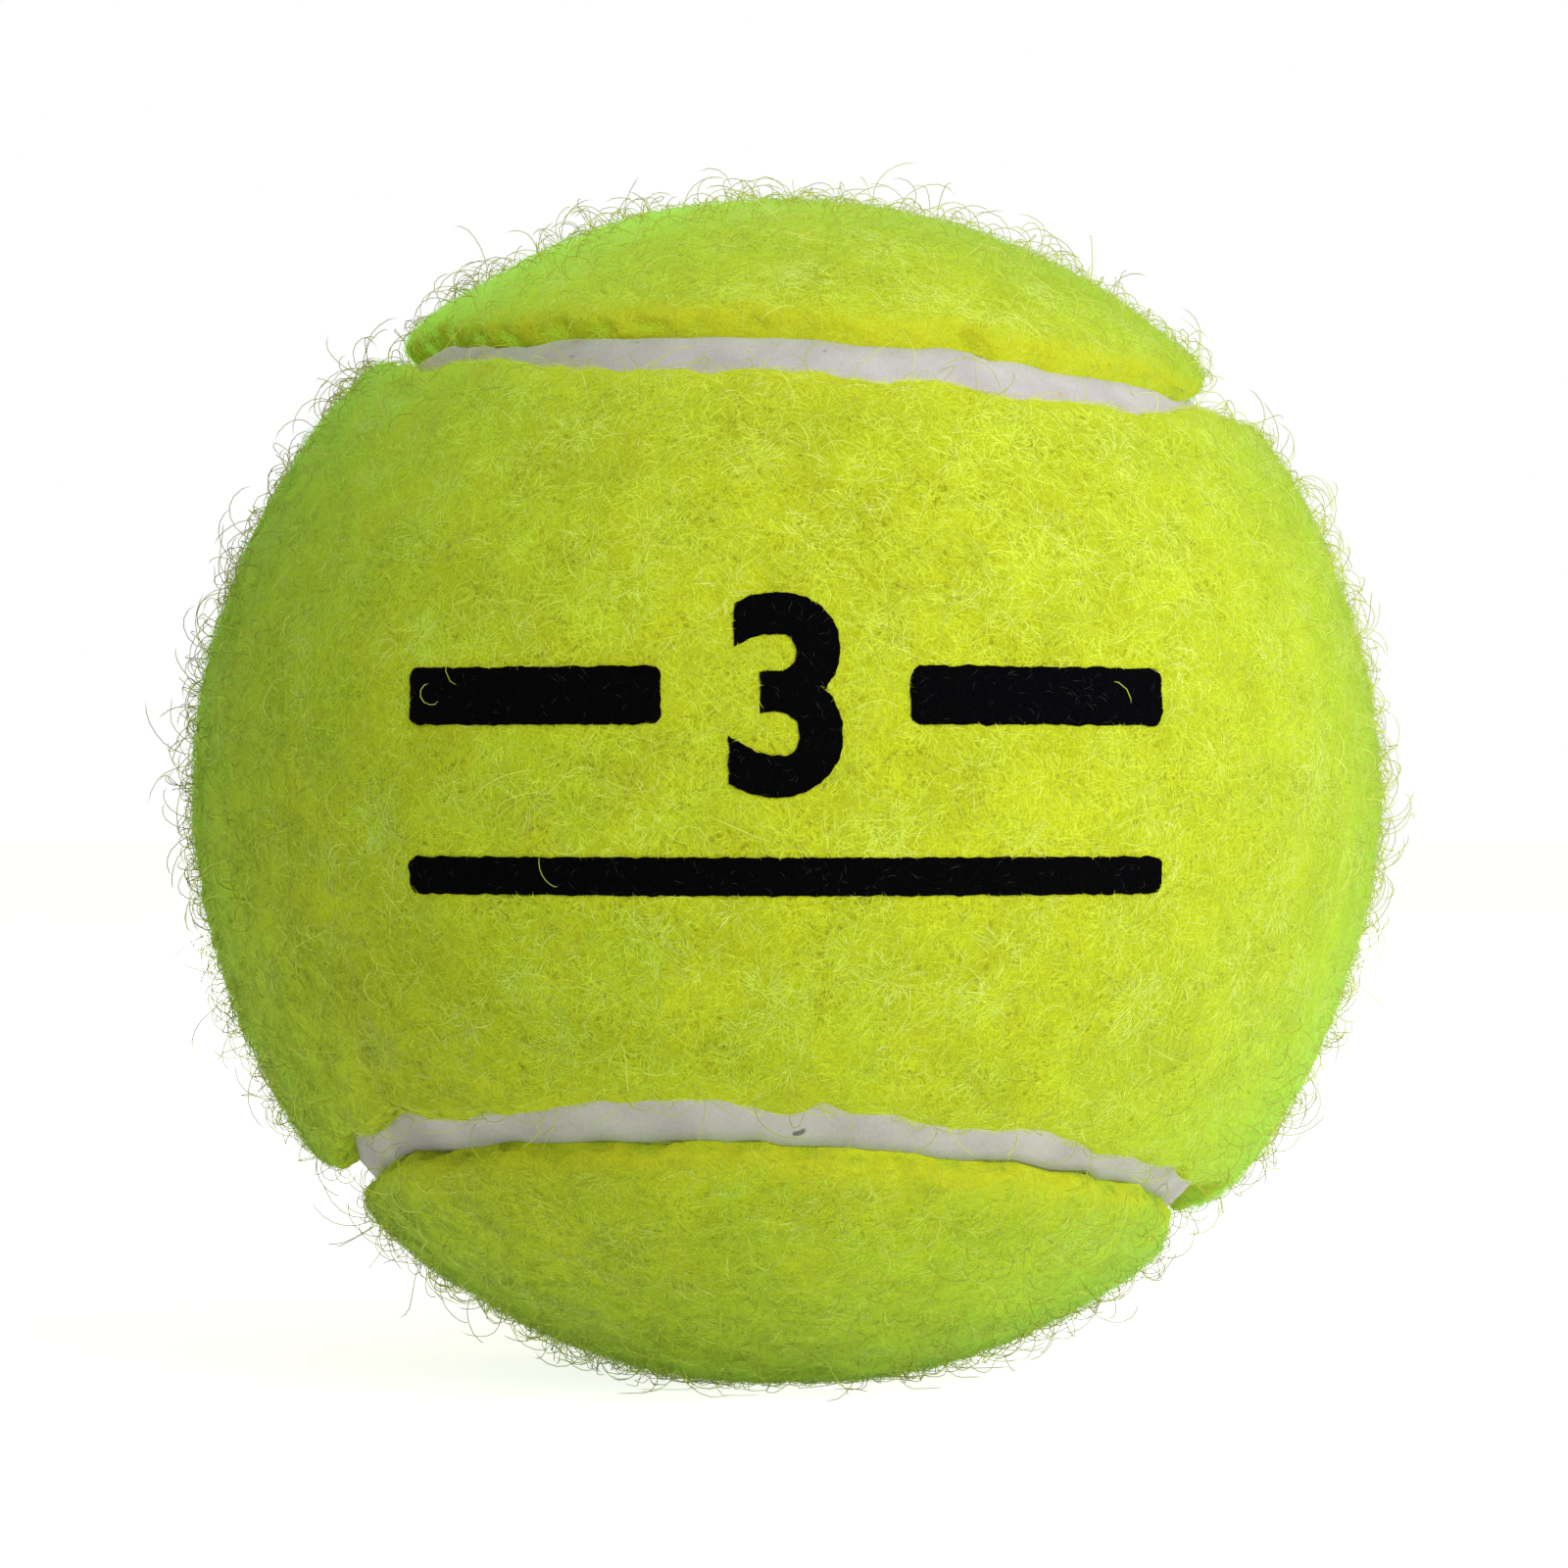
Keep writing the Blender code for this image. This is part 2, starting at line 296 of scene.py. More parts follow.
def felt_ground_mesh(name, seam_tree, waves, back, tilt, laps):
    """Panel's ground: the solid with a fine outer skin, waved along its cut edge and lumpy on top.

    The edge stands back from the seam by a distance and by a tilt with height. Each lap is a depth by which
    it comes forward, the reach over which that fades out, and its place.
    """
    bm = merged_copy(name)
    skin = BALL_RADIUS - SHOULDER_DROP
    outer = [edge for edge in bm.edges if min(vert.co.length for vert in edge.verts) > skin]
    bmesh.ops.subdivide_edges(bm, edges=outer, cuts=GROUND_CUTS, use_grid_fill=True)
    top = [vert for vert in bm.verts if vert.co.length > skin]
    for _ in range(GROUND_SMOOTHING):
        bmesh.ops.smooth_vert(
            bm, verts=top, factor=GROUND_SMOOTHING_SHARE, use_axis_x=True, use_axis_y=True, use_axis_z=True
        )
    near = {vert for vert in top if seam_tree.find_nearest(vert.co)[3] < EDGE_REACH}
    rim = [edge for edge in bm.edges if all(vert in near for vert in edge.verts)]
    bmesh.ops.subdivide_edges(bm, edges=rim, cuts=1, use_grid_fill=True)
    edge_layer = bm.verts.layers.float.new("cut_edge")
    for vert in bm.verts:
        outward = vert.co.normalized()
        on_top = vert.co.length > skin
        nearest, _, _, distance = seam_tree.find_nearest(vert.co)
        away = vert.co - nearest
        away -= outward * away.dot(outward)
        lap = sum(depth * fade((nearest - spot).length, reach) for depth, reach, spot in laps)
        retreat = back + tilt * nearest.z - lap
        wave = (retreat + edge_wave(nearest, waves)) * fade(distance, EDGE_WAVE_REACH)
        rise = wavy(vert.co, GROUND_LUMPS) - GROUND_SINK
        rise += (EDGE_LIFT + GROUND_SINK) * fade(distance, EDGE_REACH)
        vert[edge_layer] = fade(distance, EDGE_TINT_REACH)
        vert.co += away.normalized() * wave + outward * (rise if on_top else 0.0)
        vert.co.z = max(vert.co.z, FLOOR)
    return bm


def shade_as_cover(piece, share):
    """Turns a piece's normals towards the ball's own by a share, so that matted pile takes light softly."""
    mesh = piece.data
    spots = np.empty(len(mesh.vertices) * 3)
    normals = np.empty(len(mesh.vertices) * 3)
    mesh.vertices.foreach_get("co", spots)
    mesh.vertex_normals.foreach_get("vector", normals)
    spots = spots.reshape(-1, 3)
    outward = spots / np.linalg.norm(spots, axis=1, keepdims=True)
    turned = outward * share + normals.reshape(-1, 3) * (1 - share)
    turned /= np.linalg.norm(turned, axis=1, keepdims=True)
    mesh.normals_split_custom_set_from_vertices(turned.tolist())


def strewn(tree, turns):
    """Height of fine fibres strewn over one another, each layer lying its own way and swaying a little."""
    place = tree.nodes.new("ShaderNodeTexCoord")
    sway = tree.nodes.new("ShaderNodeTexNoise")
    middle = tree.nodes.new("ShaderNodeVectorMath")
    swayed = tree.nodes.new("ShaderNodeVectorMath")
    sway.inputs["Scale"].default_value = 1 / FELT_FIBRE[0]
    middle.operation = "SUBTRACT"
    middle.inputs[1].default_value = (0.5, 0.5, 0.5)
    swayed.operation = "MULTIPLY_ADD"
    swayed.inputs[1].default_value = (FELT_FIBRE_SWAY,) * 3
    tree.links.new(place.outputs["Object"], sway.inputs["Vector"])
    tree.links.new(sway.outputs["Color"], middle.inputs[0])
    tree.links.new(middle.outputs[0], swayed.inputs[0])
    tree.links.new(place.outputs["Object"], swayed.inputs[2])
    highest = None
    for turn in turns:
        laid = tree.nodes.new("ShaderNodeMapping")
        laid.vector_type = "TEXTURE"
        laid.inputs["Rotation"].default_value = turn
        laid.inputs["Scale"].default_value = (FELT_FIBRE[0], FELT_FIBRE[1], FELT_FIBRE[1])
        lines = tree.nodes.new("ShaderNodeTexNoise")
        lines.inputs["Scale"].default_value = 1.0
        lines.inputs["Detail"].default_value = 1.0
        tree.links.new(swayed.outputs[0], laid.inputs["Vector"])
        tree.links.new(laid.outputs[0], lines.inputs["Vector"])
        if highest is None:
            highest = lines.outputs["Fac"]
            continue
        over = tree.nodes.new("ShaderNodeMath")
        over.operation = "MAXIMUM"
        tree.links.new(highest, over.inputs[0])
        tree.links.new(lines.outputs["Fac"], over.inputs[1])
        highest = over.outputs[0]
    return highest


def felt_material(name):
    """Napped cloth: matted fibres, tufts and blotches, and painted shade: dark in pits, golden by the cut
    edge.
    """
    constants = {
        "Specular IOR Level": FELT_GLOSS,
        "Sheen Weight": FELT_SHEEN_WEIGHT,
        "Sheen Roughness": SHEEN_ROUGHNESS,
        "Sheen Tint": FELT_SHEEN,
    }
    material, tree, shader = start_material(name, FELT_ROUGHNESS, constants)
    matted = strewn(tree, FELT_FIBRE_TURNS)
    tufts = cloud(tree, FELT_TUFT, detail=2.0, distortion=0.6)
    pits = cloud(tree, FELT_PIT_SIZE, detail=2.0, distortion=1.0)
    blotches = cloud(tree, FELT_BLOTCH, detail=2.0, distortion=0.4)
    pile = ramp(tree, matted, [(0.50, FELT_DEEP), (0.62, FELT_MID), (0.76, FELT_PALE)])
    open_pile = ramp(tree, tufts, [(0.42, grey(0.95)), (0.62, grey(0.15))])
    # Painted shade in pits, most where the pile between the tufts is open.
    pit_shade_mask = ramp(tree, pits, [(0.31, grey(1.0)), (0.47, grey(0.0))])
    pit_shade_share = mixed(tree, 1.0, pit_shade_mask, open_pile, mode="MULTIPLY")
    pit_shaded = mixed(tree, pit_shade_share, pile, PIT_SHADE_COLOUR)
    shaded = mixed(tree, 1.0, pit_shaded, ramp(tree, blotches, FELT_SHADES), mode="MULTIPLY")
    # Golden painted shade of the groove, strongest at the cut edge.
    edge = tree.nodes.new("ShaderNodeAttribute")
    edge.attribute_name = "cut_edge"
    groove_shade = tree.nodes.new("ShaderNodeMath")
    groove_shade.operation = "MULTIPLY"
    groove_shade.inputs[1].default_value = GROOVE_SHADE_SHARE
    tree.links.new(edge.outputs["Fac"], groove_shade.inputs[0])
    groove_shaded = mixed(tree, groove_shade.outputs[0], shaded, FELT_GOLDEN_SHADE)
    tree.links.new(groove_shaded, shader.inputs["Base Color"])
    relief(tree, shader, matted, FELT_FIBRE_DEPTH)
    return material


seam_solid = BVHTree.FromBMesh(merged_copy("seam_strip"))
felt = felt_material("felt")
felt_front_mesh = felt_ground_mesh(
    "felt_panel_front", seam_solid, FRONT_WAVES, FRONT_BACK, FRONT_TILT, FRONT_LAPS
)
felt_rear_mesh = felt_ground_mesh(
    "felt_panel_rear", seam_solid, REAR_WAVES, REAR_BACK, REAR_TILT, REAR_LAPS
)
felt_front = new_piece("felt_front", felt_front_mesh, felt)
felt_rear = new_piece("felt_rear", felt_rear_mesh, felt)
for panel, node in ((felt_front, "felt_panel_front"), (felt_rear, "felt_panel_rear")):
    shade_as_cover(panel, GROUND_SOFTNESS)
    panel.visible_shadow = False
    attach(panel, "root")
    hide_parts(node)


# Seam: one closed strip of pale rubber that was moulded into the groove between the panels in the press.
# It fills the groove up to the felt on both sides, crowned and uneven, with specks in its lilac grey.
SEAM_CUTS = 3
SEAM_CROWN = 0.00003
SEAM_SUNK = 0.00050
SEAM_TOP_DEPTH = 0.0004
SEAM_UNEVEN = ((0.004, 0.00010), (0.0012, 0.00004))
SEAM_TUCK = 1.12
SEAM_BLOTCH = 0.003
SEAM_GRAIN = 0.00018
SEAM_GRAIN_DEPTH = 0.00002
SEAM_SPECK = 0.0011
SEAM_RUST_SPECK = 0.001507
SEAM_GLOSS = 0.3
SEAM_ROUGHNESS = 0.78
SEAM_TONES = (
    (0.30, screen_colour(187, 181, 179)),
    (0.52, screen_colour(198, 193, 190)),
    (0.75, screen_colour(207, 204, 199)),
)
SEAM_DIRT = screen_colour(120, 118, 112)
SEAM_RUST = screen_colour(196, 160, 156)


def across_strip(place):
    """Place across the strip's solid, from the front panel's side to the rear one's."""
    front_gap = front_solid.find_nearest(place)[3]
    rear_gap = rear_solid.find_nearest(place)[3]
    return (front_gap - rear_gap) / (front_gap + rear_gap)


def seam_mesh(front_tree, rear_tree):
    """The strip's solid, spread until its sides are just inside the felt."""
    bm = merged_copy("seam_strip")
    bmesh.ops.subdivide_edges(bm, edges=bm.edges, cuts=SEAM_CUTS, use_grid_fill=True)
    top = max(vert.co.length for vert in bm.verts)
    widest = max(abs(across_strip(vert.co)) for vert in bm.verts)
    for vert in bm.verts:
        radius = vert.co.length
        spread = across_strip(vert.co) / widest
        front = front_tree.find_nearest(vert.co)[0]
        rear = rear_tree.find_nearest(vert.co)[0]
        spot = (front + rear) / 2 + (rear - front) / 2 * spread * SEAM_TUCK
        if radius > top - SEAM_TOP_DEPTH:
            radius += SEAM_CROWN * (1 - spread * spread) + wavy(vert.co, SEAM_UNEVEN) - SEAM_SUNK
        vert.co = spot.normalized() * radius
    return bm


def seam_material(name):
    """Moulded seam rubber: cloudy lilac grey with fine grain, and a few dark and rust specks."""
    material, tree, shader = start_material(name, SEAM_ROUGHNESS, {"Specular IOR Level": SEAM_GLOSS})
    clouds = cloud(tree, SEAM_BLOTCH, detail=3.0)
    grain = cloud(tree, SEAM_GRAIN, detail=3.0, distortion=1.0)
    dirt = cloud(tree, SEAM_SPECK, detail=1.0)
    rust = cloud(tree, SEAM_RUST_SPECK, detail=1.0)
    body = ramp(tree, clouds, SEAM_TONES)
    fine = ramp(tree, grain, [(0.32, grey(0.90)), (0.55, grey(1.0))])
    grained = mixed(tree, 1.0, body, fine, mode="MULTIPLY")
    dark = ramp(tree, dirt, [(0.20, grey(1.0)), (0.25, grey(0.0))])
    red = ramp(tree, rust, [(0.20, grey(1.0)), (0.25, grey(0.0))])
    specked = mixed(tree, dark, grained, SEAM_DIRT)
    rusted = mixed(tree, red, specked, SEAM_RUST)
    tree.links.new(rusted, shader.inputs["Base Color"])
    relief(tree, shader, grain, SEAM_GRAIN_DEPTH)
    return material


front_solid = BVHTree.FromBMesh(merged_copy("felt_panel_front"))
rear_solid = BVHTree.FromBMesh(merged_copy("felt_panel_rear"))
front_tree = BVHTree.FromBMesh(felt_front_mesh)
rear_tree = BVHTree.FromBMesh(felt_rear_mesh)
seam_strip_mesh = seam_mesh(front_tree, rear_tree)
seam = new_piece("seam", seam_strip_mesh, seam_material("seam_rubber"))
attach(seam, "root")
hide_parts("seam_strip")


# Printed mark: black ink stamped into the pile of the front panel, a plain ball number between two bars
# over one long bar. The ink is a thin film in the matted pile, and the short fibres in it are black too.
MARK_CENTRE = 0.0048
NUMBER_HEIGHT = 0.0102
NUMBER_WEIGHT = 0.03
BAR_THICKNESS = 0.0029
BAR_INNER = 0.0062
BAR_OUTER = 0.0190
LONG_BAR_CENTRE = -0.0042
LONG_BAR_THICKNESS = 0.0019
BAR_CORNER = 0.0005
BAR_CORNER_STEPS = 5
MARK_CELL = 0.00018
MARK_CUT_SNAP = 1e-7
STAMP_START = -1.0
STAMP_WAY = Vector((0.0, 1.0, 0.0))
MARK_RAGGED = ((0.0008, 0.00005), (0.0004, 0.00008))
INK_LIFT = 0.00006
INK_FILM = 0.00010
INK_GLOSS = 0.03
INK_ROUGHNESS = 0.9
INK_FILM_TONES = (
    (0.2, screen_colour(3, 3, 4)),
    (0.7, screen_colour(8, 8, 9)),
    (1.0, screen_colour(22, 22, 23)),
)
INK_GRAIN = 0.00016
INK_GRAIN_DEPTH = 0.00005


def add_bar(bm, left, right, centre, thickness):
    """Upright rectangle in the plane seen from the front."""
    verts = bmesh.ops.create_grid(bm, x_segments=1, y_segments=1, size=0.5)["verts"]
    bmesh.ops.scale(bm, vec=(right - left, thickness, 1.0), verts=verts)
    bmesh.ops.translate(bm, vec=((left + right) / 2, centre, 0.0), verts=verts)
    bmesh.ops.bevel(
        bm, geom=verts, offset=BAR_CORNER, offset_type="OFFSET", affect="VERTICES",
        segments=BAR_CORNER_STEPS, profile=0.5, material=-1,
    )


def add_number(bm, text, height, centre):
    """Plain numeral, made a mesh and set to its height."""
    curve = bpy.data.curves.new("number", "FONT")
    curve.body = text
    curve.offset = NUMBER_WEIGHT
    writing = bpy.data.objects.new("number", curve)
    bpy.context.scene.collection.objects.link(writing)
    flat = bpy.data.meshes.new_from_object(writing.evaluated_get(bpy.context.evaluated_depsgraph_get()))
    before = set(bm.verts)
    bm.from_mesh(flat)
    verts = [vert for vert in bm.verts if vert not in before]
    lows = [min(vert.co[axis] for vert in verts) for axis in range(2)]
    highs = [max(vert.co[axis] for vert in verts) for axis in range(2)]
    middle = ((lows[0] + highs[0]) / 2, (lows[1] + highs[1]) / 2, 0.0)
    size = height / (highs[1] - lows[1])
    bmesh.ops.translate(bm, vec=-Vector(middle), verts=verts)
    bmesh.ops.scale(bm, vec=(size, size, 1.0), verts=verts)
    bmesh.ops.translate(bm, vec=(0.0, centre, 0.0), verts=verts)
    bpy.data.objects.remove(writing)
    bpy.data.curves.remove(curve)
    bpy.data.meshes.remove(flat)


def flat_mark():
    """The mark in the XZ plane, cut into cells small enough to follow the ball."""
    bm = bmesh.new()
    add_bar(bm, -BAR_OUTER, -BAR_INNER, MARK_CENTRE, BAR_THICKNESS)
    add_bar(bm, BAR_INNER, BAR_OUTER, MARK_CENTRE, BAR_THICKNESS)
    add_bar(bm, -BAR_OUTER, BAR_OUTER, LONG_BAR_CENTRE, LONG_BAR_THICKNESS)
    add_number(bm, "3", NUMBER_HEIGHT, MARK_CENTRE)
    bmesh.ops.remove_doubles(bm, verts=bm.verts, dist=WELD_DISTANCE)
    for axis in range(2):
        low = min(vert.co[axis] for vert in bm.verts)
        high = max(vert.co[axis] for vert in bm.verts)
        normal = Vector((1.0, 0.0, 0.0)) if axis == 0 else Vector((0.0, 1.0, 0.0))
        for cell in range(1, int((high - low) / MARK_CELL)):
            bmesh.ops.bisect_plane(
                bm, geom=bm.verts[:] + bm.edges[:] + bm.faces[:],
                plane_co=normal * (low + cell * MARK_CELL), plane_no=normal, dist=MARK_CUT_SNAP,
            )
    bmesh.ops.triangulate(bm, faces=bm.faces)
    for vert in bm.verts:
        vert.co = (vert.co.x, 0.0, vert.co.y)
    for vert in bm.verts:
        if vert.is_boundary:
            aside = Vector((0.0, BALL_RADIUS, 0.0))
            vert.co.x += wavy(vert.co, MARK_RAGGED)
            vert.co.z += wavy(vert.co + aside, MARK_RAGGED)
    return bm


def in_mark(mark_tree, place):
    """Whether a point on the front of the ball lies within the mark's outline."""
    return mark_tree.ray_cast(Vector((place[0], STAMP_START, place[2])), STAMP_WAY)[0] is not None


def ink_film_mesh(mark, front_tree):
    """The flat mark laid on the felt as a thin film."""
    bm = mark.copy()
    for vert in bm.verts:
        start = Vector((vert.co.x, -2 * BALL_RADIUS, vert.co.z))
        landing = front_tree.ray_cast(start, STAMP_WAY)[0]
        vert.co = landing + landing.normalized() * INK_LIFT
    for face in bm.faces:
        face.normal_update()
    turned = [face for face in bm.faces if face.normal.dot(face.calc_center_median()) < 0]
    bmesh.ops.reverse_faces(bm, faces=turned)
    upper = bm.faces[:]
    made = bmesh.ops.extrude_face_region(bm, geom=upper, use_keep_orig=True)["geom"]
    lower = [item for item in made if isinstance(item, bmesh.types.BMFace)]
    for vert in {vert for face in lower for vert in face.verts}:
        vert.co -= vert.co.normalized() * INK_FILM
    bmesh.ops.recalc_face_normals(bm, faces=bm.faces)
    return bm


def ink_material(name):
    """Matt black ink soaked into felt, with a dusting of grey where the pile shows."""
    material, tree, shader = start_material(name, INK_ROUGHNESS, {"Specular IOR Level": INK_GLOSS})
    grain = cloud(tree, INK_GRAIN, detail=3.0, distortion=1.5, kind="RIDGED_MULTIFRACTAL")
    tree.links.new(ramp(tree, grain, INK_FILM_TONES), shader.inputs["Base Color"])
    relief(tree, shader, grain, INK_GRAIN_DEPTH)
    return material


mark = flat_mark()
mark_tree = BVHTree.FromBMesh(mark)
ink_film = new_piece("ink_film", ink_film_mesh(mark, front_tree), ink_material("ink"))
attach(ink_film, "root")


# Nap: the raised pile of both panels, over a hundred thousand fine wool and nylon fibres that come out of
# the cloth in tufts and lie fanned out over the ground. Each is a three-sided strand with pointed ends.
SEED = 11
FIBRE_SIDES = 3
FIBRE_RADIUS = 0.0000125
FIBRE_WELD = 1e-8
FIBRE_GLOSS = 0.35
FIBRE_ROUGHNESS = 0.8
# Painted shade at the root of each fibre, and the share of its length that it reaches.
FIBRE_ROOT_SHADE = (0.85, 0.86, 0.78, 1.0)
FIBRE_ROOT_SHARE = 0.35
FEWEST_POINTS = 3
TONE_MIDDLE = 0.5
TONE_ASIDE = 0.004
TONE_ENDS = (0.002, 0.998)
COVER_START = 1.2
COVER_REACH = 0.4
NAP_FIBRES = 132000
NAP_TUFTS = 10000
NAP_TUFT_REACH = 0.0005
NAP_FANNED = 1.6
NAP_CLUMP = 0.0022
NAP_CLUMPED = 0.65
NAP_GIRTH = 1.25
NAP_STEPS = 2
NAP_LENGTH = (0.0007, 0.0019)
NAP_BEND = 0.4
NAP_STRAY = 0.5
NAP_RISE = (0.00005, 0.00032)
NAP_ROOT_CLIMB = -0.1
NAP_MIDDLE_CLIMB = (0.5, 1.0)
NAP_TIP_CLIMB = (0.2, 1.1)
NAP_TONE_SPREAD = 0.14
NAP_TUFT_TONE_SPREAD = 0.18
CURL_SWAY = 0.6
NAP_BANDS = 4
PILE_SOFTNESS = 1.0
NAP_CROSSING_SHARE = 0.03
OUTLINE_HALVINGS = 5
SHORTEST_STEP = FIBRE_RADIUS / 9
INK_EDGE_FRAY = 0.00022
NAP_TONES = (
    (0.0, screen_colour(198, 210, 30)),
    (0.35, screen_colour(226, 241, 58)),
    (0.7, screen_colour(235, 249, 84)),
    (0.9, screen_colour(240, 251, 114)),
    (1.0, screen_colour(244, 252, 152)),
)
rng = np.random.default_rng(SEED)
noise.seed_set(SEED)


def any_directions(count):
    """Unit directions spread evenly over the ball."""
    spread = rng.normal(size=(count, 3))
    return spread / np.linalg.norm(spread, axis=1, keepdims=True)


def square_to(vectors, axes):
    """Vectors made square to their axes, one long."""
    square = vectors - axes * np.sum(vectors * axes, axis=1, keepdims=True)
    return square / np.linalg.norm(square, axis=1, keepdims=True)


def wander(start, lean, length, steps, bend):
    """Unit directions along fibres that creep over the ball from their roots, curling as they go."""
    here = start
    heading = lean - here * np.sum(lean * here, axis=1, keepdims=True)
    heading /= np.linalg.norm(heading, axis=1, keepdims=True)
    stride = (length / steps / BALL_RADIUS)[:, None]
    curl = rng.normal(0.0, bend, len(here))
    path = [here]
    for _ in range(steps):
        turn = (curl + rng.normal(0.0, bend * CURL_SWAY, len(here)))[:, None]
        heading = heading * np.cos(turn) + np.cross(here, heading) * np.sin(turn)
        onward = here * np.cos(stride) + heading * np.sin(stride)
        heading = heading * np.cos(stride) - here * np.sin(stride)
        here = onward
        path.append(here)
    return np.stack(path, axis=1)


def cover_tree():
    """One tree over both panels and the seam, with the piece that each of its faces belongs to."""
    corners, faces, owners = [], [], []
    for owner, bm in enumerate((felt_front_mesh, felt_rear_mesh, seam_strip_mesh)):
        bm.verts.index_update()
        first = len(corners)
        corners.extend(vert.co.copy() for vert in bm.verts)
        faces.extend([first + vert.index for vert in face.verts] for face in bm.faces)
        owners.extend([owner] * len(bm.faces))
    return BVHTree.FromPolygons(corners, faces), np.array(owners)


cover, cover_owner = cover_tree()
FRONT, REAR, SEAM = range(3)
PANELS = ((FRONT, "front"), (REAR, "rear"))


def cover_under(directions):
    """Radius of the cover along each direction, and the piece that lies there."""
    radius = np.empty(len(directions))
    owner = np.empty(len(directions), int)
    for row, direction in enumerate(directions):
        outward = Vector(direction)
        start = outward * BALL_RADIUS * COVER_START
        landing, _, face, _ = cover.ray_cast(start, -outward, BALL_RADIUS * COVER_REACH)
        radius[row] = landing.length if landing else BALL_RADIUS
        owner[row] = cover_owner[face] if landing else SEAM
    return radius, owner


def rise_over(paths, heights):
    """Points of fibres at heights over the cover, and the piece under each. None is below the floor."""
    count, points = heights.shape
    radius, owner = cover_under(paths.reshape(-1, 3))
    places = paths * (radius.reshape(count, points) + heights)[:, :, None]
    places[:, :, 2] = np.maximum(places[:, :, 2], FLOOR + FIBRE_RADIUS)
    return places, owner.reshape(count, points)


def inked(places):
    """Which of the points lie within the printed mark."""
    reach = BAR_OUTER + MARK_CELL
    near = (places[:, 1] < 0) & (np.abs(places[:, 0]) < reach) & (np.abs(places[:, 2]) < reach)
    found = np.zeros(len(places), bool)
    for row in np.flatnonzero(near):
        found[row] = in_mark(mark_tree, places[row])
    return found


def fibre_section():
    """Three-sided section that the strands are drawn with."""
    curve = bpy.data.curves.new("fibre_section", "CURVE")
    spline = curve.splines.new("POLY")
    spline.points.add(FIBRE_SIDES - 1)
    spline.use_cyclic_u = True
    for corner, point in enumerate(spline.points):
        turn = 2 * math.pi * corner / FIBRE_SIDES
        point.co = (FIBRE_RADIUS * math.cos(turn), FIBRE_RADIUS * math.sin(turn), 0.0, 1.0)
    return bpy.data.objects.new("fibre_section", curve)


section = fibre_section()
bpy.context.scene.collection.objects.link(section)


def fibre_piece(name, strands, tones, material, girth=1.0):
    """One piece of many strands. Its map runs across by the strand's tone and up along its length."""
    curve = bpy.data.curves.new(name, "CURVE")
    curve.dimensions = "3D"
    curve.bevel_mode = "OBJECT"
    curve.bevel_object = section
    for strand in strands:
        count = len(strand)
        spline = curve.splines.new("POLY")
        spline.points.add(count - 1)
        spline.points.foreach_set("co", np.column_stack([strand, np.ones(count)]).ravel())
        spline.points.foreach_set("radius", [0.0] + [girth] * (count - 2) + [0.0])
    drawn = bpy.data.objects.new(name + "_line", curve)
    bpy.context.scene.collection.objects.link(drawn)
    mesh = bpy.data.meshes.new_from_object(drawn.evaluated_get(bpy.context.evaluated_depsgraph_get()))
    bpy.data.objects.remove(drawn)
    bpy.data.curves.remove(curve)
    counts = np.array([len(strand) for strand in strands])
    tone = np.repeat(tones, counts * FIBRE_SIDES)
    along = np.concatenate([np.repeat(np.linspace(0.0, 1.0, count), FIBRE_SIDES) for count in counts])
    aside = np.tile(np.linspace(-TONE_ASIDE, TONE_ASIDE, FIBRE_SIDES), counts.sum())
    corner = np.empty(len(mesh.loops), int)
    mesh.loops.foreach_get("vertex_index", corner)
    while mesh.uv_layers:
        mesh.uv_layers.remove(mesh.uv_layers[0])
    layer = mesh.uv_layers.new(name="OFBake")
    across = np.clip(tone + aside, *TONE_ENDS)
    spread = np.column_stack([across[corner], along[corner]])
    layer.data.foreach_set("uv", spread.astype(np.float32).ravel())
    bm = bmesh.new()
    bm.from_mesh(mesh)
    bmesh.ops.remove_doubles(bm, verts=bm.verts, dist=FIBRE_WELD)
    bmesh.ops.recalc_face_normals(bm, faces=bm.faces)
    bpy.data.meshes.remove(mesh)
    piece = new_piece(name, bm, material)
    bm.free()
    piece.visible_shadow = False
    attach(piece, "root")
    return piece


def fibre_material(name, tones, sheen=FELT_SHEEN_WEIGHT, gloss=FIBRE_GLOSS):
    """Dyed fibre: its tone goes by strand, and painted shade makes it darker towards the root."""
    constants = {
        "Specular IOR Level": gloss,
        "Sheen Weight": sheen,
        "Sheen Roughness": SHEEN_ROUGHNESS,
        "Sheen Tint": FELT_SHEEN,
    }
    material, tree, shader = start_material(name, FIBRE_ROUGHNESS, constants)
    own_map = tree.nodes.new("ShaderNodeUVMap")
    own_map.uv_map = "OFBake"
    split = tree.nodes.new("ShaderNodeSeparateXYZ")
    tree.links.new(own_map.outputs["UV"], split.inputs["Vector"])
    dye = ramp(tree, split.outputs["X"], tones)
    # Painted shade towards the root, where the pile around it would shade the fibre.
    shade = ramp(tree, split.outputs["Y"], [(0.0, FIBRE_ROOT_SHADE), (FIBRE_ROOT_SHARE, grey(1.0))])
    tree.links.new(mixed(tree, 1.0, dye, shade, mode="MULTIPLY"), shader.inputs["Base Color"])
    return material


def uncovered(owner, ink, crossing):
    """How many points of each strand come before it would lie over the seam or the ink."""
    barred = ((owner == SEAM) & ~crossing[:, None]) | ink
    barred = np.column_stack([barred, np.ones(len(barred), bool)])
    return barred.argmax(axis=1)


def outline_point(outside, inside):
    """Point on the mark's outline between a point outside it and one within."""
    for _ in range(OUTLINE_HALVINGS):
        middle = (outside + inside) / 2
        if in_mark(mark_tree, middle):
            inside = middle
        else:
            outside = middle
    onward = inside - outside
    onward = onward / max(np.linalg.norm(onward), SHORTEST_STEP)
    return inside + onward * rng.uniform(0.0, INK_EDGE_FRAY)


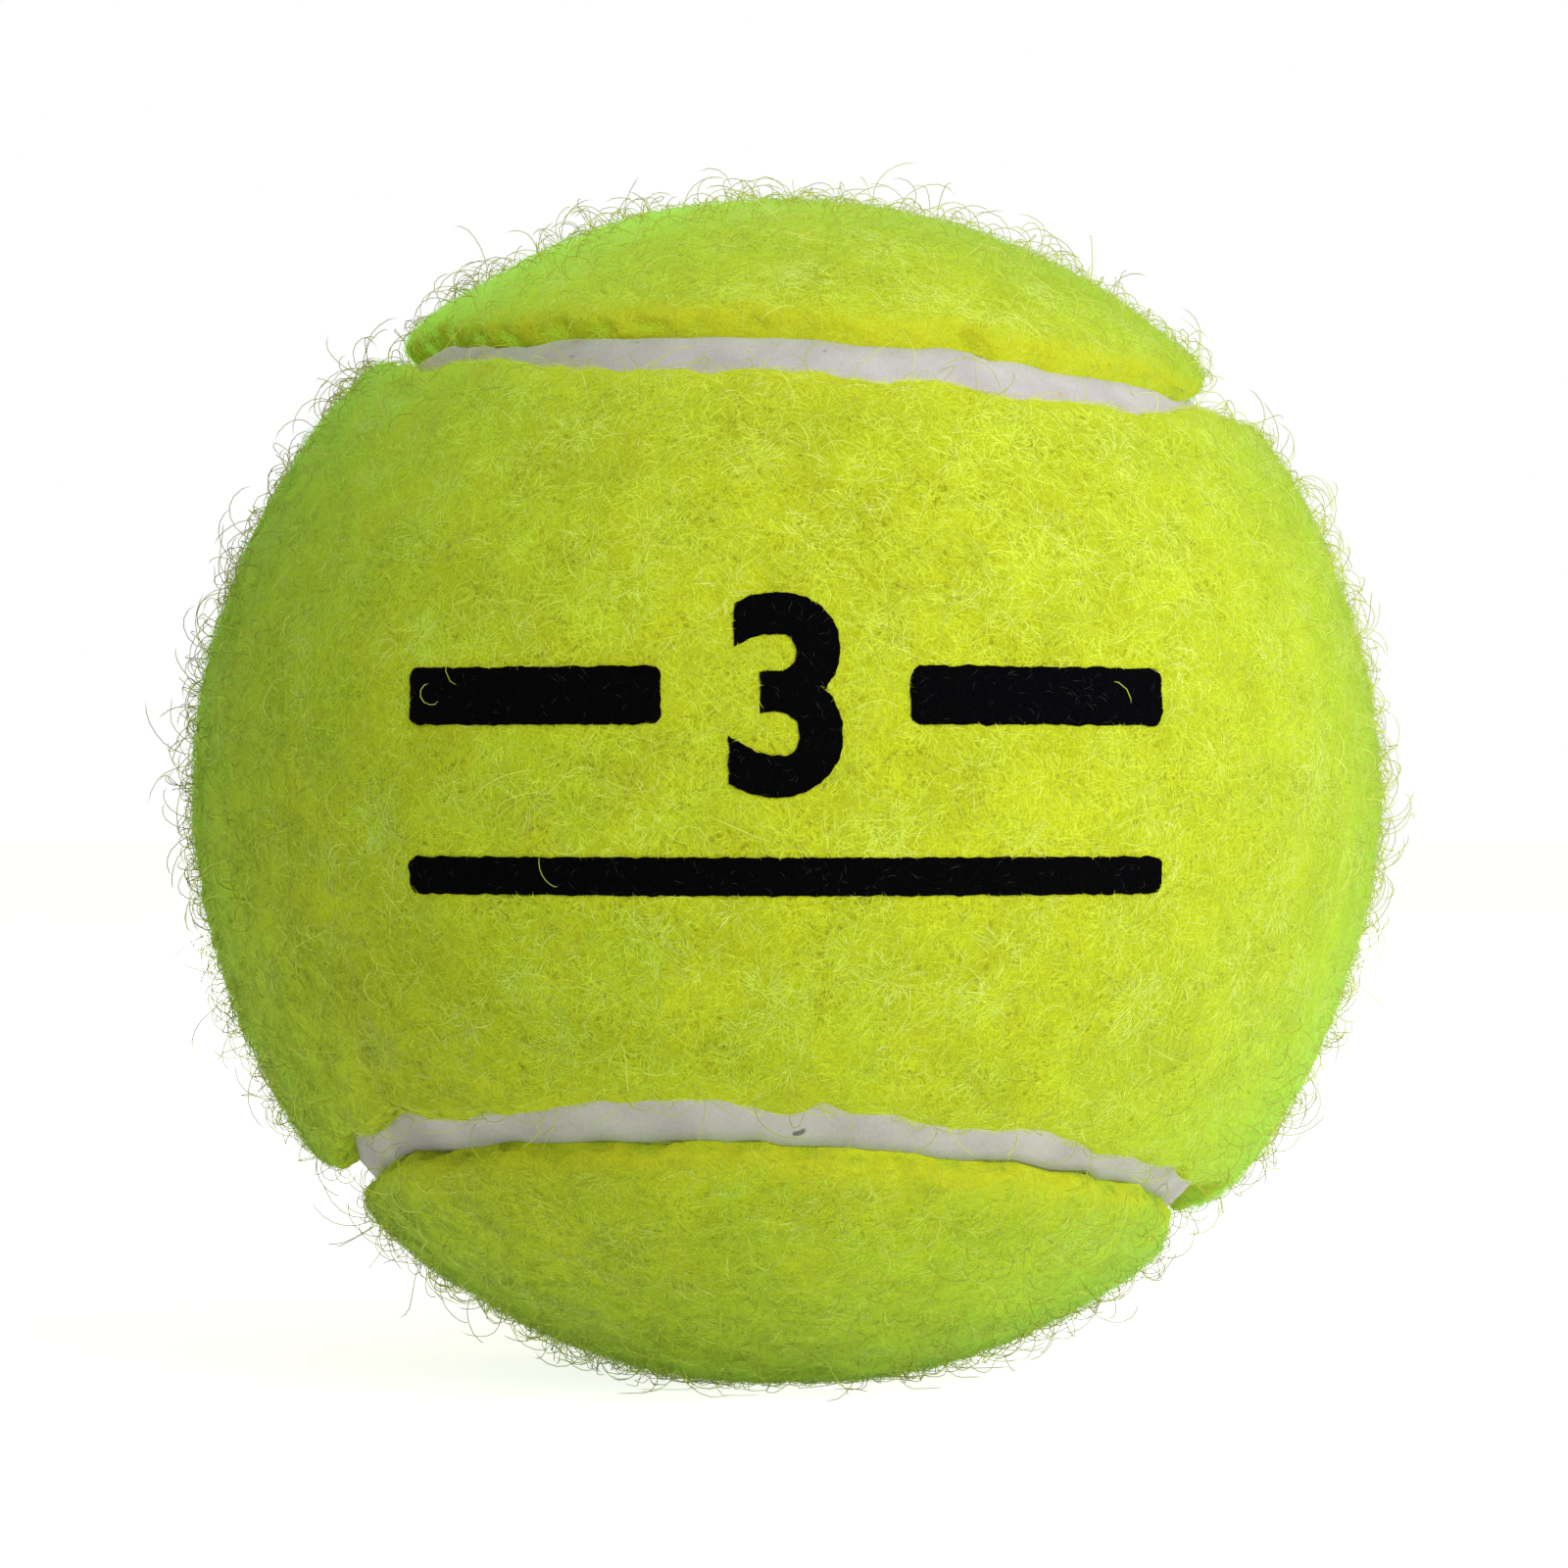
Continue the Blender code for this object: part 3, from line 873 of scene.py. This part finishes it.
def nap_strand(row):
    """Points of one strand, up to the seam or to the outline of the ink."""
    kept = nap_kept[row]
    strand = nap_places[row, :kept]
    if nap_stopped[row]:
        return np.vstack([strand, outline_point(strand[-1], nap_places[row, kept])])
    return strand


def toned(spread, count, shift=0.0):
    """Tones of strands, spread round the middle one."""
    return np.clip(rng.normal(TONE_MIDDLE, spread, count) + shift, 0.0, 1.0)


def in_bands(members, places, bands):
    """Strands in numbered bands across the ball, so that no piece gets too large."""
    across = members[np.argsort(places[members, 0, 0])]
    return enumerate(np.array_split(across, bands), start=1)


tufts = any_directions(NAP_TUFTS)
tuft_tone = rng.normal(0.0, NAP_TUFT_TONE_SPREAD, NAP_TUFTS)
tuft_tone += [NAP_CLUMPED * noise.noise(Vector(tuft) * BALL_RADIUS / NAP_CLUMP) for tuft in tufts]
own_tuft = rng.integers(NAP_TUFTS, size=NAP_FIBRES)
nap_fan = square_to(any_directions(NAP_FIBRES), tufts[own_tuft])
nap_aside = np.sqrt(rng.random(NAP_FIBRES)) * NAP_TUFT_REACH / BALL_RADIUS
nap_roots = tufts[own_tuft] + nap_fan * nap_aside[:, None]
nap_roots /= np.linalg.norm(nap_roots, axis=1, keepdims=True)
nap_length = rng.uniform(*NAP_LENGTH, NAP_FIBRES)
nap_lean = nap_fan * NAP_FANNED + any_directions(NAP_FIBRES) * NAP_STRAY
nap_paths = wander(nap_roots, nap_lean, nap_length, NAP_STEPS, NAP_BEND)
nap_rise = rng.uniform(*NAP_RISE, NAP_FIBRES)
nap_climb = np.column_stack([
    np.full(NAP_FIBRES, NAP_ROOT_CLIMB),
    rng.uniform(*NAP_MIDDLE_CLIMB, NAP_FIBRES),
    rng.uniform(*NAP_TIP_CLIMB, NAP_FIBRES),
])
nap_places, nap_owner = rise_over(nap_paths, nap_rise[:, None] * nap_climb)
nap_ink = inked(nap_places.reshape(-1, 3)).reshape(nap_owner.shape)
nap_kept = uncovered(nap_owner, nap_ink, rng.random(NAP_FIBRES) < NAP_CROSSING_SHARE)
nap_stopped = np.column_stack([nap_ink, np.zeros(NAP_FIBRES, bool)])[np.arange(NAP_FIBRES), nap_kept]
nap_tone = toned(NAP_TONE_SPREAD, NAP_FIBRES, tuft_tone[own_tuft])
nap_fibre = fibre_material("nap_fibre", NAP_TONES)
for panel, side in PANELS:
    mine = np.flatnonzero((nap_owner[:, 0] == panel) & (nap_kept + nap_stopped >= FEWEST_POINTS))
    for band, members in in_bands(mine, nap_places, NAP_BANDS):
        strands = [nap_strand(row) for row in members]
        piece = fibre_piece(f"nap_{side}_{band}", strands, nap_tone[members], nap_fibre, NAP_GIRTH)
        shade_as_cover(piece, PILE_SOFTNESS)


# Down: short fine hairs that stand up out of the matted pile all over. They catch the light at the rim of
# the ball, where they turn its yellow greener and paler.
DOWN_HAIRS = 32000
DOWN_STEPS = 2
DOWN_LENGTH = (0.0002, 0.0006)
DOWN_RISE = (0.00020, 0.00080)
DOWN_CLIMB = (-0.05, 0.6, 1.0)
DOWN_BEND = 0.5
DOWN_SWIRL = 0.0030
DOWN_COMBED = 1.4
DOWN_TONE_SPREAD = 0.22
DOWN_TONES = (
    (0.0, screen_colour(208, 232, 72)),
    (0.5, screen_colour(221, 244, 108)),
    (1.0, screen_colour(232, 249, 150)),
)


def swirled(places):
    """Headings of hairs that lie in swirls, each straying from its neighbours."""
    lean = np.array([noise.noise_vector(Vector(place) / DOWN_SWIRL) for place in places])
    return lean * DOWN_COMBED + any_directions(len(places))


down_roots = any_directions(DOWN_HAIRS)
down_length = rng.uniform(*DOWN_LENGTH, DOWN_HAIRS)
down_paths = wander(down_roots, swirled(down_roots * BALL_RADIUS), down_length, DOWN_STEPS, DOWN_BEND)
down_rise = rng.uniform(*DOWN_RISE, DOWN_HAIRS)[:, None]
down_places, down_owner = rise_over(down_paths, down_rise * np.array([DOWN_CLIMB]))
down_ink = inked(down_places.reshape(-1, 3)).reshape(down_owner.shape).any(axis=1)
down_free = ~down_ink & (down_owner != SEAM).all(axis=1)
down_tone = toned(DOWN_TONE_SPREAD, DOWN_HAIRS)
down_hair = fibre_material("down_hair", DOWN_TONES)
for panel, side in PANELS:
    members = np.flatnonzero((down_owner[:, 0] == panel) & down_free)
    piece = fibre_piece(f"down_{side}", list(down_places[members]), down_tone[members], down_hair)
    shade_as_cover(piece, PILE_SOFTNESS)


# Edge pile: short fibres on the rolled edges of the panels, combed along the cut by the press. They cover
# the shoulder of the felt down to the seam rubber and fray a little over it.
EDGE_FIBRES = 14000
EDGE_CLOSENESS = 0.40
EDGE_DEPTH = 0.0018
EDGE_SPARE = 3
EDGE_LENGTH = (0.0004, 0.0012)
EDGE_RISE = (0.00003, 0.00016)
EDGE_TIP_RISE = (-0.2, 1.0)
EDGE_SWAY = 0.125
EDGE_FRAY = math.radians(55)
EDGE_TONE_SPREAD = 0.2
# Their golden tones are painted shade of the groove, as on the felt by the cut edge.
EDGE_TONES = (
    (0.0, screen_colour(206, 206, 30)),
    (0.5, screen_colour(222, 226, 42)),
    (1.0, screen_colour(234, 240, 76)),
)


def edge_strands(bm, seam_tree):
    """Strands rooted on a panel's shoulder, spread by area, most of them running along its edge."""
    closeness = bm.verts.layers.float["cut_edge"]
    lowest = BALL_RADIUS - EDGE_DEPTH
    shoulder = [
        face for face in bm.faces
        if all(vert[closeness] > EDGE_CLOSENESS for vert in face.verts)
        and max(vert.co.length for vert in face.verts) > lowest
    ]
    sizes = np.array([face.calc_area() for face in shoulder])
    strands = []
    for pick in rng.choice(len(shoulder), EDGE_FIBRES * EDGE_SPARE, p=sizes / sizes.sum()):
        face = shoulder[pick]
        shares = rng.dirichlet(np.ones(len(face.verts)))
        root = sum((vert.co * share for vert, share in zip(face.verts, shares)), Vector())
        if root.length < lowest or len(strands) == EDGE_FIBRES:
            continue
        away = root - seam_tree.find_nearest(root)[0]
        along = face.normal.cross(away).normalized() * rng.choice((-1, 1))
        uphill = along.cross(face.normal)
        fray = rng.normal(0.0, EDGE_FRAY)
        heading = along * math.cos(fray) + uphill * math.sin(fray)
        length = rng.uniform(*EDGE_LENGTH)
        rise = face.normal * rng.uniform(*EDGE_RISE)
        sway = uphill * rng.normal(0.0, length * EDGE_SWAY)
        strands.append(np.array([
            root - face.normal * FIBRE_RADIUS,
            root + heading * length / 2 + rise + sway,
            root + heading * length + rise * rng.uniform(*EDGE_TIP_RISE),
        ]))
    return strands


edge_fibre = fibre_material("edge_fibre", EDGE_TONES)
for bm, side in ((felt_front_mesh, "front"), (felt_rear_mesh, "rear")):
    edge_tone = toned(EDGE_TONE_SPREAD, EDGE_FIBRES)
    piece = fibre_piece(f"edge_pile_{side}", edge_strands(bm, seam_solid), edge_tone, edge_fibre)
    shade_as_cover(piece, PILE_SOFTNESS)


# Fuzz: longer fibres that have worked loose and stand off the ball in loops and hooks on every side.
# They are coarser than the nap, and darker: painted shade of fibres that stand alone against the light.
FUZZ_FIBRES = 13500
FUZZ_BANDS = 2
FUZZ_STEPS = 7
FUZZ_LENGTH = (0.0012, 0.0048)
FUZZ_LENGTH_BIAS = 1.25
FUZZ_LIFT = (math.radians(45), math.radians(90))
FUZZ_CURL = (0.25, 0.80)
FUZZ_DRIFT = 0.3
FUZZ_GIRTH = 1.9
FUZZ_CROSSING_SHARE = 0.04
FUZZ_SOFTNESS = 0.7
NO_SHEEN = 0.0
FUZZ_TONE_SPREAD = 0.25
# Darker than the nap's tones: painted shade of back-lit fibres.
FUZZ_TONES = (
    (0.0, screen_colour(168, 186, 44)),
    (0.4, screen_colour(186, 205, 56)),
    (0.8, screen_colour(206, 225, 78)),
    (1.0, screen_colour(226, 240, 112)),
)


def loops(roots, length):
    """Points of loose fibres, each curling round a drifting axis of its own, none under the cover."""
    count = len(roots)
    radius, owner = cover_under(roots)
    lift = rng.uniform(*FUZZ_LIFT, count)[:, None]
    heading = square_to(any_directions(count), roots) * np.cos(lift) + roots * np.sin(lift)
    axis = square_to(any_directions(count), heading)
    stride = (length / FUZZ_STEPS)[:, None]
    curl = rng.uniform(*FUZZ_CURL, count)[:, None]
    here = roots * radius[:, None]
    path = [here]
    for _ in range(FUZZ_STEPS):
        heading = heading * np.cos(curl) + np.cross(axis, heading) * np.sin(curl)
        axis = square_to(axis + rng.normal(0.0, FUZZ_DRIFT, (count, 3)), heading)
        here = here + heading * stride
        path.append(here)
    places = np.stack(path, axis=1)
    reach = np.linalg.norm(places, axis=2)
    paths = places / reach[:, :, None]
    under = cover_under(paths.reshape(-1, 3))[0].reshape(reach.shape)
    return rise_over(paths, np.maximum(reach - under, -FIBRE_RADIUS))[0], owner


fuzz_roots = any_directions(FUZZ_FIBRES)
fuzz_share = rng.random(FUZZ_FIBRES) ** FUZZ_LENGTH_BIAS
fuzz_length = FUZZ_LENGTH[0] + (FUZZ_LENGTH[1] - FUZZ_LENGTH[0]) * fuzz_share
fuzz_places, fuzz_owner = loops(fuzz_roots, fuzz_length)
fuzz_ink = inked(fuzz_places.reshape(-1, 3)).reshape(FUZZ_FIBRES, FUZZ_STEPS + 1).any(axis=1)
fuzz_ink &= rng.random(FUZZ_FIBRES) > FUZZ_CROSSING_SHARE
fuzz_tone = toned(FUZZ_TONE_SPREAD, FUZZ_FIBRES)
fuzz_fibre = fibre_material("fuzz_fibre", FUZZ_TONES, sheen=NO_SHEEN)
for panel, side in PANELS:
    mine = np.flatnonzero((fuzz_owner == panel) & ~fuzz_ink)
    for band, members in in_bands(mine, fuzz_places, FUZZ_BANDS):
        strands = list(fuzz_places[members])
        piece = fibre_piece(f"fuzz_{side}_{band}", strands, fuzz_tone[members], fuzz_fibre, FUZZ_GIRTH)
        shade_as_cover(piece, FUZZ_SOFTNESS)


# Inked pile: the short fibres within the mark, soaked black and pressed down by the stamp. They lie on the
# film of ink as strands like those of the nap, a little thicker because several stick together.
INK_FIBRES = 7000
INK_STEPS = 2
INK_LENGTH = (0.0003, 0.0008)
INK_BEND = 0.4
INK_RISE = (0.00004, 0.00016)
INK_CLIMB = (-0.3, 1.0, 0.6)
INK_GIRTH = 1.4
INK_TONE_SPREAD = 0.25
INK_TONES = (
    (0.0, screen_colour(4, 4, 4)),
    (0.75, screen_colour(10, 10, 11)),
    (0.95, screen_colour(24, 24, 25)),
    (1.0, screen_colour(54, 55, 54)),
)


def mark_directions(count):
    """Directions of random points within the mark."""
    found = []
    low = LONG_BAR_CENTRE - LONG_BAR_THICKNESS
    high = MARK_CENTRE + NUMBER_HEIGHT / 2
    while len(found) < count:
        side = rng.uniform(-BAR_OUTER, BAR_OUTER)
        up = rng.uniform(low, high)
        if in_mark(mark_tree, (side, 0.0, up)):
            depth = math.sqrt(BALL_RADIUS**2 - side**2 - up**2)
            found.append((side, -depth, up))
    return np.array(found) / BALL_RADIUS


ink_roots = mark_directions(INK_FIBRES)
ink_length = rng.uniform(*INK_LENGTH, INK_FIBRES)
ink_paths = wander(ink_roots, any_directions(INK_FIBRES), ink_length, INK_STEPS, INK_BEND)
ink_rise = rng.uniform(*INK_RISE, INK_FIBRES)[:, None]
ink_places, _ = rise_over(ink_paths, INK_LIFT + ink_rise * np.array([INK_CLIMB]))
ink_held = inked(ink_places[:, :-1].reshape(-1, 3)).reshape(INK_FIBRES, INK_STEPS).all(axis=1)
ink_members = np.flatnonzero(ink_held)
ink_tone = toned(INK_TONE_SPREAD, INK_FIBRES)
ink_fibre = fibre_material("ink_fibre", INK_TONES, sheen=NO_SHEEN, gloss=INK_GLOSS)
ink_strands = list(ink_places[ink_members])
ink_pile = fibre_piece("ink_pile", ink_strands, ink_tone[ink_members], ink_fibre, INK_GIRTH)
shade_as_cover(ink_pile, PILE_SOFTNESS)

bpy.data.objects.remove(section)


# Floor and background: a plain matt white table that the ball stands on, with the ball's soft shadow on it.
# The camera sees it as pure white outside the shadow, but it throws no more light on the ball for that.
# It does glow faintly of its own, as a weak light on the ball from below.
FLOOR_SIZE = 3.0
FLOOR_SIDES = 96
FLOOR_MATT = 0.55
FLOOR_WHITENING = 0.77
FLOOR_PLAIN = 0.92
# The floor's own faint glow, a weak light on the ball from below.
FLOOR_GLOW = 0.15


def looked_at(tree):
    """1 for what the camera sees, also in a reflection or through glass."""
    path = tree.nodes.new("ShaderNodeLightPath")
    seen = path.outputs["Is Camera Ray"]
    for kind in ("Is Glossy Ray", "Is Transmission Ray"):
        either = tree.nodes.new("ShaderNodeMath")
        either.operation = "MAXIMUM"
        tree.links.new(seen, either.inputs[0])
        tree.links.new(path.outputs[kind], either.inputs[1])
        seen = either.outputs[0]
    return seen


def seen_apart(holder, out_kind):
    """Fresh node tree, with the socket for the light that a thing gives and the one for what is looked at."""
    holder.use_nodes = True
    tree = holder.node_tree
    tree.nodes.clear()
    out = tree.nodes.new(out_kind)
    choose = tree.nodes.new("ShaderNodeMixShader")
    tree.links.new(looked_at(tree), choose.inputs[0])
    tree.links.new(choose.outputs[0], out.inputs["Surface"])
    return tree, choose.inputs[1], choose.inputs[2]


def glowing_white(tree, level, strength):
    """Matt white of a level that also gives light of its own."""
    both = tree.nodes.new("ShaderNodeAddShader")
    matt = tree.nodes.new("ShaderNodeBsdfDiffuse")
    glow = tree.nodes.new("ShaderNodeEmission")
    matt.inputs["Color"].default_value = grey(level)
    glow.inputs["Strength"].default_value = strength
    tree.links.new(matt.outputs[0], both.inputs[0])
    tree.links.new(glow.outputs[0], both.inputs[1])
    return both.outputs[0]


def white_floor(name):
    """White that the camera sees as pure white outside the shadow, and that glows faintly on the ball."""
    material = bpy.data.materials.new(name)
    tree, given, looked = seen_apart(material, "ShaderNodeOutputMaterial")
    tree.links.new(glowing_white(tree, FLOOR_PLAIN, FLOOR_GLOW), given)
    tree.links.new(glowing_white(tree, FLOOR_MATT, FLOOR_WHITENING), looked)
    return material


floor_mesh = bmesh.new()
bmesh.ops.create_circle(floor_mesh, cap_ends=True, segments=FLOOR_SIDES, radius=FLOOR_SIZE)
bmesh.ops.translate(floor_mesh, vec=(0.0, 0.0, FLOOR), verts=floor_mesh.verts)
floor = new_piece("floor", floor_mesh, white_floor("white_floor"))


# Light: a pale surround that brightens smoothly towards the top and a little towards the right, a large
# soft lamp in front at the upper right, and a weak one behind the ball so that its back isn't left dark.
SURROUND_LEVEL = 0.03
SURROUND_SLOPE = (0.12, 0.0, 0.62)
SURROUND_COLOUR = (1.0, 1.0, 0.80, 1.0)
KEY_PLACE = Vector((0.60, -0.55, 0.45))
KEY_SIZE = 0.7
KEY_POWER = 6.5
KEY_COLOUR = (1.03, 1.0, 1.22)
BACK_PLACE = Vector((-0.1, 0.9, 0.25))
BACK_SIZE = 0.5
BACK_POWER = 2.8
BACK_COLOUR = (1.0, 1.0, 1.0)


def soft_lamp(name, place, size, power, colour):
    """Round lamp at a place, turned towards the ball."""
    lamp = bpy.data.lights.new(name, "AREA")
    lamp.shape = "DISK"
    lamp.size = size
    lamp.energy = power
    lamp.color = colour
    holder = bpy.data.objects.new(name, lamp)
    holder.location = place
    holder.rotation_euler = (-place).to_track_quat("-Z", "Y").to_euler()
    bpy.context.scene.collection.objects.link(holder)


def white_surround(name):
    """World whose light slopes from one side to the other, and which the camera sees as plain white."""
    world = bpy.data.worlds.new(name)
    tree, given, looked = seen_apart(world, "ShaderNodeOutputWorld")
    light = tree.nodes.new("ShaderNodeBackground")
    white = tree.nodes.new("ShaderNodeBackground")
    place = tree.nodes.new("ShaderNodeTexCoord")
    slope = tree.nodes.new("ShaderNodeVectorMath")
    level = tree.nodes.new("ShaderNodeMath")
    slope.operation = "DOT_PRODUCT"
    slope.inputs[1].default_value = SURROUND_SLOPE
    level.operation = "ADD"
    level.inputs[1].default_value = SURROUND_LEVEL
    level.use_clamp = True
    light.inputs["Color"].default_value = SURROUND_COLOUR
    white.inputs["Color"].default_value = grey(1.0)
    tree.links.new(place.outputs["Generated"], slope.inputs[0])
    tree.links.new(slope.outputs["Value"], level.inputs[0])
    tree.links.new(level.outputs["Value"], light.inputs["Strength"])
    tree.links.new(light.outputs[0], given)
    tree.links.new(white.outputs[0], looked)
    return world


soft_lamp("key_lamp", KEY_PLACE, KEY_SIZE, KEY_POWER, KEY_COLOUR)
soft_lamp("back_lamp", BACK_PLACE, BACK_SIZE, BACK_POWER, BACK_COLOUR)
bpy.context.scene.world = white_surround("white_surround")
bpy.context.scene.view_settings.view_transform = "Standard"


# Camera: level with the ball's centre and nine ball radii away, framed as the photograph is. Its lens and
# shift come from the outline's radius and the ball's centre in the photograph, in pixels.
IMAGE_SIZE = 1600
OUTLINE_PIXELS = 607
CENTRE_PIXEL = (802, 808)
CAMERA_RADII = 9.0
SENSOR = 36.0
NEAREST = 0.01

lens_pixels = OUTLINE_PIXELS * math.sqrt(CAMERA_RADII**2 - 1)
eye = bpy.data.cameras.new("camera")
eye.sensor_width = SENSOR
eye.lens = SENSOR * lens_pixels / IMAGE_SIZE
eye.shift_x = (IMAGE_SIZE / 2 - CENTRE_PIXEL[0]) / IMAGE_SIZE
eye.shift_y = (CENTRE_PIXEL[1] - IMAGE_SIZE / 2) / IMAGE_SIZE
eye.clip_start = NEAREST
camera = bpy.data.objects.new("camera", eye)
camera.location = (0.0, -CAMERA_RADII * BALL_RADIUS, 0.0)
camera.rotation_euler = (math.pi / 2, 0.0, 0.0)
bpy.context.scene.collection.objects.link(camera)
bpy.context.scene.camera = camera
